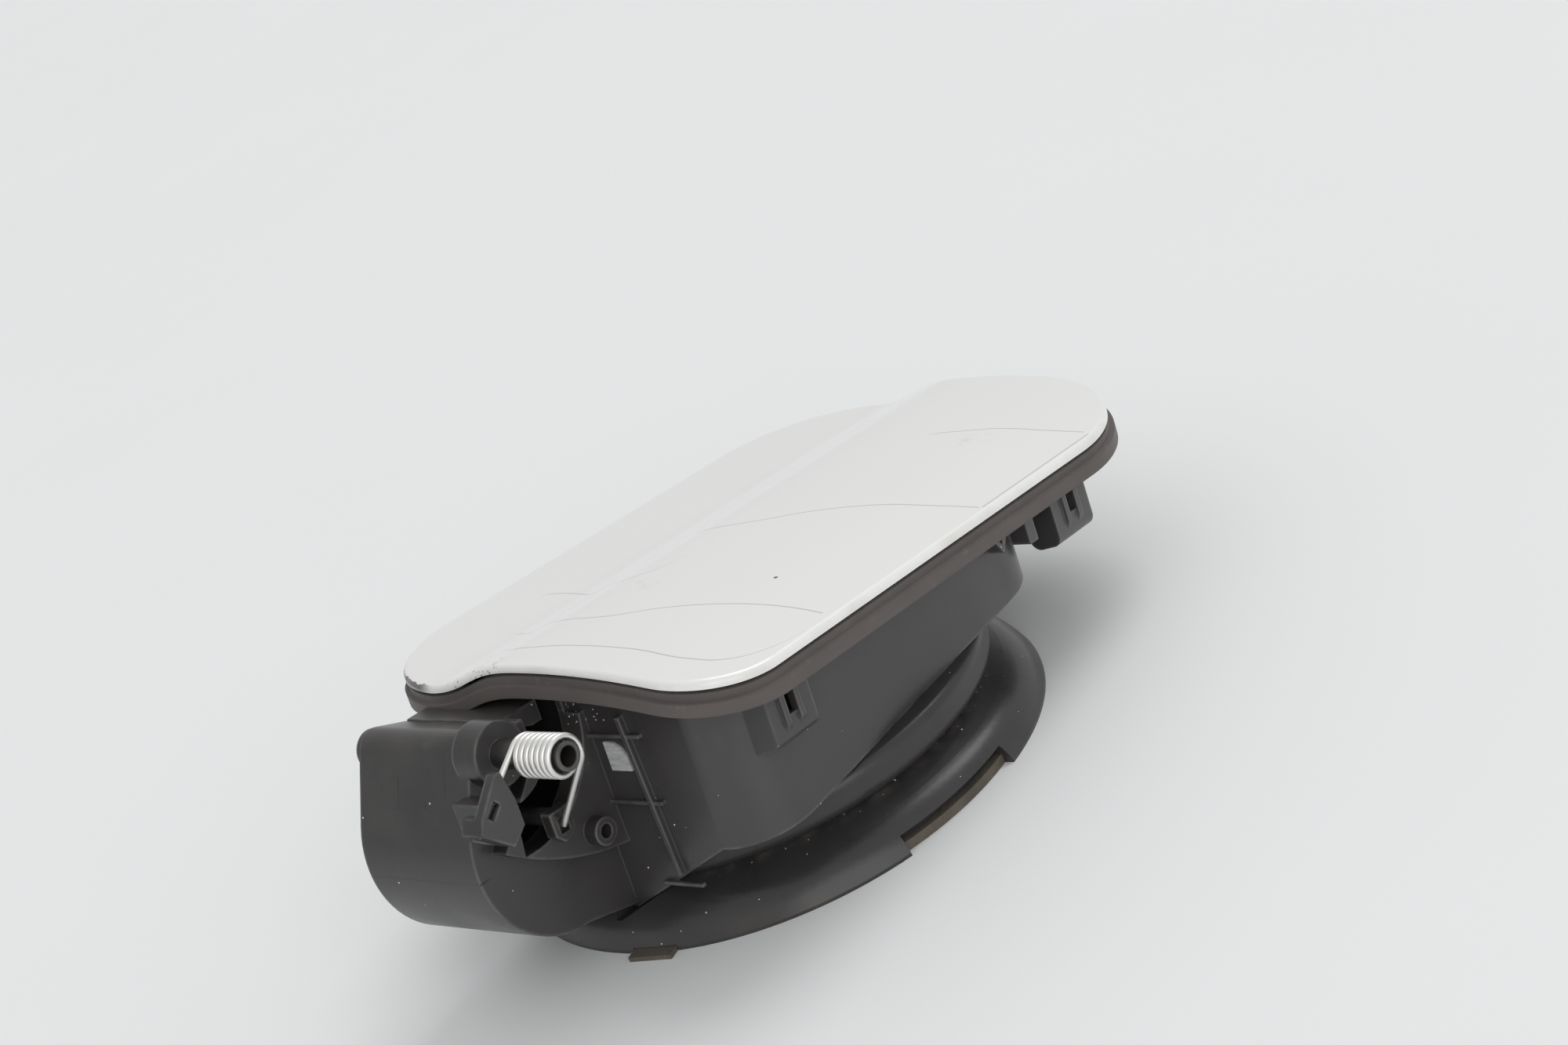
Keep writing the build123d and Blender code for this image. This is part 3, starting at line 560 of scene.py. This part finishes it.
def wear_and_highlights(plastic, kept):
    """Film, scuffs, paler edges (rubbed wear and painted highlight) and a share of pale specks
    over a plastic.
    """
    up = plastic.fade(facing(plastic, UP), *UP_FACING)
    film = plastic.all_of(up, plastic.fade(plastic.cloud, *FILM_PATCHES))
    plastic.over(film, FILM_COLOUR, FILM_STRENGTH)
    streaks = plastic.noise(STREAK_SIZE, detail=5.0, stretch=STREAK_STRETCH)
    plastic.over(plastic.fade(streaks, *SCUFF_PATCHES), SCUFF_COLOUR, SCUFF_STRENGTH)
    # Paler patches along the edges: partly rubbed wear, partly a painted highlight.
    lightened = plastic.all_of(edges(plastic, EDGE_WIDTH), plastic.fade(streaks, *EDGE_RUB_AND_HIGHLIGHT_PATCHES))
    plastic.over(lightened, EDGE_RUB_AND_HIGHLIGHT_COLOUR, EDGE_RUB_AND_HIGHLIGHT_STRENGTH)
    plastic.over(specks(plastic, kept=kept, **PALE_SPECKS), PALE_COLOUR)


wear_and_highlights(pot_plastic, kept=0.10)
wear_and_highlights(arm_plastic, kept=0.03)
dress(arm_plastic, "flap_inner", "hinge_arm", "cap_hook")

# %% [markdown]
# Where the halves of the mould meet, a fine parting line runs along the round of the hinge
# pocket. It is a dark hairline at one height of the flap's frame, kept to the near side. A
# real groove this thin would be narrower than a pixel, so it stays in the material.

# %% Parting line of the pocket
SEAM_Z = -46.1
SEAM_FADE = (0.30, 0.12)
SEAM_Y = (-144.0, -147.0)
SEAM_COLOUR = (0.006, 0.006, 0.006)

slanted = pot_plastic.place(*FLAP_FRAME)
seam = pot_plastic.fade(pot_plastic.off(pot_plastic.axis("Z", slanted), SEAM_Z), *SEAM_FADE)
near_side = pot_plastic.fade(pot_plastic.axis("Y", slanted), *SEAM_Y)
pot_plastic.over(pot_plastic.all_of(seam, near_side), SEAM_COLOUR)
dress(pot_plastic, "pot", "latch_body")

# %% [markdown]
# The edge seal is soft rubber that has bleached to a brownish grey, with a dull and slightly
# fuzzy face. Sheen on the shader gives the fuzz without any hairs, and the cloud is squeezed
# across the lip, so that its streaks run along the seal.

# %% Edge seal
SEAL_BROWNS = ((0.080, 0.070, 0.067), (0.125, 0.108, 0.102))
SEAL_CLOUD = 16.0
SEAL_STRETCH = (1.0, 1.0, 3.0)
SEAL_ROUGHNESS = (0.55, 0.75)
SEAL_RUB_SIZE = 3.0
SEAL_RUB_PATCHES = (0.60, 0.78)
SEAL_RUB_COLOUR = (0.19, 0.17, 0.16)
SEAL_RUB_STRENGTH = 0.35
SEAL_GRAIN = 0.5
SEAL_GRAIN_DEPTH = 0.03
SEAL_FUZZ = {"Sheen_Weight": 0.12, "Sheen_Roughness": 0.5}

seal = Finish("seal_rubber", FLAP_FRAME, Specular_IOR_Level=0.3, **SEAL_FUZZ)
seal.ground(SEAL_BROWNS, SEAL_CLOUD, detail=5.0, stretch=SEAL_STRETCH)
lightened = seal.fade(seal.noise(SEAL_RUB_SIZE, detail=5.0), *SEAL_RUB_PATCHES)
seal.over(lightened, SEAL_RUB_COLOUR, SEAL_RUB_STRENGTH)
seal.give(Roughness=seal.scale(seal.cloud, target=SEAL_ROUGHNESS))
seal.bump(seal.noise(SEAL_GRAIN), SEAL_GRAIN_DEPTH, EDGE_SOFTNESS)
dress(seal, "flange_seal")

# %% [markdown]
# The bellows is still black, with a soft sheen. Grime and grit have settled in the groove
# above its lip, loose specks lie all over it, and its foot is brown. The groove and the foot
# are found by their height, since the bellows stands straight on the table.

# %% Bellows rubber
RUBBER_BLACKS = ((0.027, 0.026, 0.027), (0.044, 0.042, 0.043))
RUBBER_CLOUD = 12.0
RUBBER_ROUGHNESS = (0.22, 0.36)
RUBBER_GRAIN = 0.6
RUBBER_GRAIN_DEPTH = 0.012
GROOVE_Z = 14.0
GROOVE_FADE = (1.6, 0.3)
GRIME_SIZE = 7.0
GRIME_PATCHES = (0.42, 0.70)
GRIME_COLOUR = (0.115, 0.100, 0.084)
GRIME_STRENGTH = 0.5
GROOVE_SPECKS = {"pitch": 2.0, "radius": 0.32, "kept": 0.85}
GROOVE_SPECK_COLOUR = (0.50, 0.47, 0.42)
LOOSE_SPECKS = {"pitch": 4.6, "radius": 0.24, "kept": 0.10}
LOOSE_SPECK_COLOUR = (0.45, 0.42, 0.38)
FOOT_Z = (8.0, 2.0)
FOOT_SIZE = 18.0
FOOT_PATCHES = (0.4, 0.7)
FOOT_COLOUR = (0.080, 0.066, 0.050)
FOOT_STRENGTH = 0.4

rubber = Finish("bellows_rubber", Specular_IOR_Level=0.5)
rubber.ground(RUBBER_BLACKS, RUBBER_CLOUD, detail=4.0)
rubber_z = rubber.axis("Z", rubber.here)
groove = rubber.fade(rubber.off(rubber_z, GROOVE_Z), *GROOVE_FADE)
grime = rubber.fade(rubber.noise(GRIME_SIZE, detail=5.0), *GRIME_PATCHES)
rubber.over(rubber.all_of(groove, grime), GRIME_COLOUR, GRIME_STRENGTH)
rubber.over(rubber.all_of(specks(rubber, **GROOVE_SPECKS), groove), GROOVE_SPECK_COLOUR)
rubber.over(specks(rubber, **LOOSE_SPECKS), LOOSE_SPECK_COLOUR)
mud = rubber.fade(rubber.noise(FOOT_SIZE), *FOOT_PATCHES)
rubber.over(rubber.all_of(rubber.fade(rubber_z, *FOOT_Z), mud), FOOT_COLOUR, FOOT_STRENGTH)
rubber.give(Roughness=rubber.scale(rubber.cloud, target=RUBBER_ROUGHNESS))
rubber.bump(rubber.noise(RUBBER_GRAIN, detail=2.0), RUBBER_GRAIN_DEPTH)
dress(rubber, "bellows", "bumpers")

# %% [markdown]
# The base ring is open foam, grey brown and quite dull. Its pores are the cells of a Voronoi
# texture, used as relief: modelling each pore would take far more faces than the ring has.

# %% Foam ring
FOAM_BROWNS = ((0.070, 0.062, 0.052), (0.165, 0.146, 0.118))
FOAM_CLOUD = 9.0
PORE_SIZE = 0.6
PORE_DEPTH = 0.15

foam = Finish("brown_foam", Roughness=0.92, Specular_IOR_Level=0.15)
foam.ground(FOAM_BROWNS, FOAM_CLOUD, detail=5.0)
pores = foam.node("ShaderNodeTexVoronoi", {"Vector": foam.here, "Scale": 1.0 / PORE_SIZE})
foam.bump(pores.outputs["Distance"], PORE_DEPTH)
dress(foam, "base_ring")

# %% [markdown]
# The spring is bright drawn wire, so its noise is squeezed along the coil and its scratches run
# round each turn. Pin, washer and screws are zinc plated, which is duller and slightly blue. For
# a metal, the colour is the tint of its reflection. The spring nut is bright stamped sheet among
# black walls: as a full metal it would only mirror them, so it is given a small share of metal
# and a colour that goes up to white, which is a painted highlight of the glint on the nut.

# %% Steels
STAIN_SIZE = 6.0
STAIN_PATCHES = (0.6, 0.8)
STAIN_SHADE = 0.6
STAIN_STRENGTH = 0.4
SCRATCH_SIZE = 0.25
SCRATCH_DEPTH = 0.006


def steel(name, greys, roughness, size, stretch=NO_STRETCH, metallic=1.0):
    """Steel between two greys, with stains and fine scratches."""
    metal = Finish(name, Metallic=metallic)
    metal.ground(greys, size, detail=4.0, stretch=stretch)
    stain = metal.fade(metal.noise(STAIN_SIZE, detail=5.0), *STAIN_PATCHES)
    metal.over(stain, [STAIN_SHADE * c for c in greys[0]], STAIN_STRENGTH)
    metal.give(Roughness=metal.scale(metal.cloud, target=roughness))
    metal.bump(metal.noise(SCRATCH_SIZE, detail=2.0, stretch=stretch), SCRATCH_DEPTH)
    return metal


wire = steel(
    "spring_wire",
    greys=((0.74, 0.73, 0.71), (0.90, 0.89, 0.87)),
    roughness=(0.34, 0.50),
    size=1.5,
    stretch=(3.0, 1.0, 1.0),
)
zinc = steel(
    "zinc",
    greys=((0.42, 0.43, 0.45), (0.60, 0.61, 0.63)),
    roughness=(0.35, 0.55),
    size=3.0,
)
# The nut's near-white colour is a painted highlight, not the tint of the steel.
sheet = steel(
    "sheet_steel",
    greys=((0.34, 0.34, 0.36), (1.0, 1.0, 1.0)),
    roughness=(0.22, 0.40),
    size=2.6,
    stretch=(0.7, 2.4, 2.4),
    metallic=0.25,
)
dress(wire, "torsion_spring")
dress(zinc, "hinge_pin", "pin_washer", "arm_screws")
dress(sheet, "spring_nut")

# %% [markdown]
# The side of the hinge pocket carries faint raised lines from the mould, on the flat that
# joins the pocket's round body to the hinge cover. That flat touches both circles, so its
# lean follows from their radii and the step between their centres, which are y and z of
# the flap's frame.

# %% The flat of the hinge pocket
HINGE = Vector((-131.0, -14.3))
DRUM_FROM_HINGE = Vector((13.2, -30.0))
DRUM_RADIUS = 31.0
COVER_RADIUS = 6.6

towards_hinge = math.atan2(-DRUM_FROM_HINGE.y, -DRUM_FROM_HINGE.x)
lean = towards_hinge + math.acos((DRUM_RADIUS - COVER_RADIUS) / DRUM_FROM_HINGE.length)
flat_outward = Vector((math.cos(lean), math.sin(lean)))
flat_upward = Vector((math.sin(lean), -math.cos(lean)))
flat_start = HINGE + DRUM_FROM_HINGE + flat_outward * DRUM_RADIUS


def on_pocket_flat(x, height):
    """Point on the flat, a height above where the pocket's round body ends."""
    y, z = flat_start + flat_upward * height
    return on_flap(x, y, z)


print("flat leans", round(math.degrees(lean), 1), "degrees")

# %% [markdown]
# Each mould line is a hair-thin bar. A curve with a round section draws a bar from its two ends,
# which is less work than a mesh, and it is turned into a plain mesh once. A new piece rides on
# the body that carries it.

# %% Mould lines
MOULD_LINE_RADIUS = 0.07
MOULD_LINES = (
    ((-33.0, 10.0), (-33.0, 12.6)),
    ((-25.4, 6.2), (-25.4, 14.5)),
    ((-33.0, 6.0), (-13.4, 6.0)),
    ((-13.4, 6.0), (-13.4, 8.6)),
    ((-19.6, 16.7), (-19.6, 18.2)),
    ((-12.0, 16.5), (-12.0, 17.6)),
    ((-4.8, 8.7), (-4.8, 20.0)),
)
scene = bpy.context.scene


def as_mesh(carrier):
    """Plain mesh of an object with its modifiers; the object itself is removed."""
    scene.collection.objects.link(carrier)
    shown = carrier.evaluated_get(bpy.context.evaluated_depsgraph_get())
    mesh = bpy.data.meshes.new_from_object(shown)
    carrier.modifiers.clear()
    bpy.data.objects.remove(carrier)
    return mesh


def as_piece(name, mesh, body):
    """New piece of the scene that rides on a body of the frame."""
    piece = bpy.data.objects.new(name, mesh)
    scene.collection.objects.link(piece)
    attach(piece, body)
    print(name, len(mesh.polygons), "faces")


bars = bpy.data.curves.new("mould_lines", "CURVE")
bars.dimensions = "3D"
bars.bevel_depth = MOULD_LINE_RADIUS * MM
bars.bevel_resolution = 1
bars.use_fill_caps = True
for ends in MOULD_LINES:
    bar = bars.splines.new("POLY")
    bar.points.add(len(ends) - 1)
    for point, end in zip(bar.points, ends):
        point.co = (*on_pocket_flat(*end), 1)
bar_mesh = as_mesh(bpy.data.objects.new("mould_line_curve", bars))
bar_mesh.materials.append(pot_plastic.done())
as_piece("mould_lines", bar_mesh, "pot_body")

# %% [markdown]
# Grit lies on the pot and the bellows as separate grains, thickest by the gussets under the
# flap. Specks in a material are flat, so the larger grains are real ones, scattered by
# Geometry Nodes on the solid's own faces, which seats every grain also round corners. A
# group has named inputs, and a modifier sets each by the identifier kept here.

# %% Inputs of the scatter
SCATTER_INPUTS = {
    "Geometry": "NodeSocketGeometry",
    "Density": "NodeSocketFloat",
    "Seed": "NodeSocketInt",
    "Low": "NodeSocketVector",
    "High": "NodeSocketVector",
}

scatter = Tree(bpy.data.node_groups.new("scatter_grit", "GeometryNodeTree"))
interface = scatter.tree.interface
scatter_keys = {}
for name, kind in SCATTER_INPUTS.items():
    socket = interface.new_socket(name, in_out="INPUT", socket_type=kind)
    scatter_keys[name] = socket.identifier
interface.new_socket("Geometry", in_out="OUTPUT", socket_type="NodeSocketGeometry")
print("scatter inputs", scatter_keys)

# %% [markdown]
# The first half of the group strews points over the faces with a fixed seed and drops those
# outside a box. A point is inside when it is past the low corner and short of the high one
# on all three axes, which the Compare node tests on a whole vector at once.

# %% Points inside a box
BOX_SIDES = (("GREATER_THAN", "Low"), ("LESS_THAN", "High"))

given = scatter.node("NodeGroupInput").outputs
strewn = {"Mesh": given["Geometry"], "Density": given["Density"], "Seed": given["Seed"]}
scattered = scatter.node("GeometryNodeDistributePointsOnFaces", strewn).outputs
position = scatter.node("GeometryNodeInputPosition").outputs[0]
tests = []
for operation, corner in BOX_SIDES:
    vectors = {"A": position, "B": given[corner]}
    settings = {"data_type": "VECTOR", "mode": "ELEMENT", "operation": operation}
    tests.append(scatter.node("FunctionNodeCompare", vectors, **settings).outputs[0])
outside = scatter.node("FunctionNodeBooleanMath", enumerate(tests), operation="NAND").outputs[0]
dropped = {"Geometry": scattered["Points"], "Selection": outside}
kept_points = scatter.node("GeometryNodeDeleteGeometry", dropped).outputs[0]
print("scatter has", len(scatter.tree.nodes), "nodes so far")

# %% [markdown]
# The second half puts a small grain of a random size on each point. An ico sphere of one
# subdivision has 20 faces, which is plenty for less than a millimetre. Realize Instances
# turns the copies into real faces, because an export would drop instances.

# %% A grain on each point
GRAIN_RADIUS = (0.10, 0.34)
GRIT_COLOURS = ((0.56, 0.53, 0.49), (0.84, 0.82, 0.79))
GRIT_CLOUD = 6.0

grit = Finish("grit", Roughness=0.9, Specular_IOR_Level=0.2)
grit.ground(GRIT_COLOURS, GRIT_CLOUD)
ball = {"Radius": MM, "Subdivisions": 1}
grain = scatter.node("GeometryNodeMeshIcoSphere", ball).outputs["Mesh"]
limits = dict(zip(("Min", "Max"), GRAIN_RADIUS))
grain_size = scatter.node("FunctionNodeRandomValue", limits, data_type="FLOAT")
copies = {"Points": kept_points, "Instance": grain, "Rotation": scattered["Rotation"]}
copies["Scale"] = switched_on(grain_size.outputs, "Value")
grains = scatter.node("GeometryNodeInstanceOnPoints", copies).outputs[0]
solid = scatter.node("GeometryNodeRealizeInstances", {"Geometry": grains}).outputs[0]
coated = {"Geometry": solid, "Material": grit.done()}
result = scatter.node("GeometryNodeSetMaterial", coated).outputs[0]
scatter.node("NodeGroupOutput", {"Geometry": result})
print("scatter has", len(scatter.tree.nodes), "nodes")

# %% [markdown]
# The group now runs three times: thinly over the whole pot and the whole bellows, and
# densely in a small box by the gussets. The two large boxes stay a little inside the
# object's own box, so that no grain makes the part bigger.

# %% Grit on pot and bellows
BOX_MARGIN = Vector((0.8, 0.8, 0.8)) * MM
WHOLE = (cad_box[0] + BOX_MARGIN, cad_box[1] - BOX_MARGIN)
GUSSETS = (on_flap(5.0, -104.0, -21.0), on_flap(20.0, -97.0, -14.0))


def scatter_grit(name, node, density, seed, box):
    """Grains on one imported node, in a box, as a piece of their own."""
    carrier = bpy.data.objects.new("grit_carrier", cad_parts[node].data)
    modifier = carrier.modifiers.new("scatter", "NODES")
    modifier.node_group = scatter.tree
    low, high = box
    for key, value in (("Density", density), ("Seed", seed), ("Low", low), ("High", high)):
        modifier[scatter_keys[key]] = value
    as_piece(name, as_mesh(carrier), "pot_body")


scatter_grit("pot_grit", "pot", density=1400.0, seed=3, box=WHOLE)
scatter_grit("bellows_grit", "bellows", density=1600.0, seed=5, box=WHOLE)
scatter_grit("gusset_grit", "pot", density=160000.0, seed=7, box=GUSSETS)

# %% [markdown]
# The camera looks down on the hinge corner and is rolled, which angles describe badly. It
# is given by its place, the direction that it looks in and the one to its right. The right
# is squared to the view first, because rounded numbers are never quite at right angles.

# %% Camera
CAMERA_PLACE = Vector((611.3, -495.7, 388.8)) * MM
CAMERA_RIGHT = Vector((0.717, 0.571, -0.399))
CAMERA_FORWARD = Vector((-0.696, 0.616, -0.371)).normalized()
CAMERA_LENS = 64.8
CAMERA_SENSOR = 36.0
CAMERA_REACH = (10.0, 50000.0)

camera_data = bpy.data.cameras.new("camera")
camera_data.lens = CAMERA_LENS
camera_data.sensor_width = CAMERA_SENSOR
camera_data.clip_start, camera_data.clip_end = [end * MM for end in CAMERA_REACH]
camera = bpy.data.objects.new("camera", camera_data)
scene.collection.objects.link(camera)
right = (CAMERA_RIGHT - CAMERA_FORWARD * CAMERA_RIGHT.dot(CAMERA_FORWARD)).normalized()
turn = Matrix((right, right.cross(CAMERA_FORWARD), -CAMERA_FORWARD)).transposed()
camera.matrix_world = Matrix.Translation(CAMERA_PLACE) @ turn.to_4x4()
scene.camera = camera
print("camera at", [round(v, 3) for v in camera.location])

# %% [markdown]
# The part stands on a plain pale table. It is one large square that lies a hair below the part,
# so that two faces never share a plane.

# %% Table
TABLE_SIZE = 12000.0
TABLE_DROP = 0.02
TABLE_WHITES = ((0.850, 0.858, 0.862), (0.870, 0.878, 0.882))
TABLE_PATCH = 180.0

reach = TABLE_SIZE * MM / 2
corners = [(-reach, -reach), (reach, -reach), (reach, reach), (-reach, reach)]
table_mesh = bpy.data.meshes.new("floor")
table_mesh.from_pydata([(x, y, -TABLE_DROP * MM) for x, y in corners], [], [(0, 1, 2, 3)])
floor = bpy.data.objects.new("floor", table_mesh)
scene.collection.objects.link(floor)
pale = Finish("pale_table", Roughness=0.55)
pale.ground(TABLE_WHITES, TABLE_PATCH)
table_mesh.materials.append(pale.done())
print("table", TABLE_SIZE, "mm wide")

# %% [markdown]
# The light is a white room with two broad lamps. One stands beyond and above the part and
# throws its soft shadow towards the viewer. The other, at the viewer's right, is broader
# still and opens up the black walls. Suns are used, since their light is the same over
# the whole part, and a sun's angle sets how soft its shadows are. Each row gives the
# direction towards a lamp, its strength and its angle in degrees.

# %% Light
LAMPS = (
    ("main_lamp", Vector((0.02, 0.56, 0.83)), 0.80, 32.0),
    ("fill_lamp", Vector((0.80, -0.50, 0.34)), 0.75, 50.0),
)
ROOM_COLOUR = (0.99, 1.0, 1.0, 1)
ROOM_STRENGTH = 0.63

for name, towards_lamp, strength, spread in LAMPS:
    lamp_data = bpy.data.lights.new(name, "SUN")
    lamp_data.energy = strength
    lamp_data.angle = math.radians(spread)
    lamp = bpy.data.objects.new(name, lamp_data)
    lamp.rotation_euler = towards_lamp.to_track_quat("Z", "Y").to_euler()
    scene.collection.objects.link(lamp)
room = bpy.data.worlds.new("room")
room.use_nodes = True
backdrop = room.node_tree.nodes["Background"]
backdrop.inputs["Color"].default_value = ROOM_COLOUR
backdrop.inputs["Strength"].default_value = ROOM_STRENGTH
scene.world = room
scene.view_settings.view_transform = "Standard"
print("lamps", len(LAMPS), "and the room")

# %% [markdown]
# The dressed object has to fill the same box as the solids.
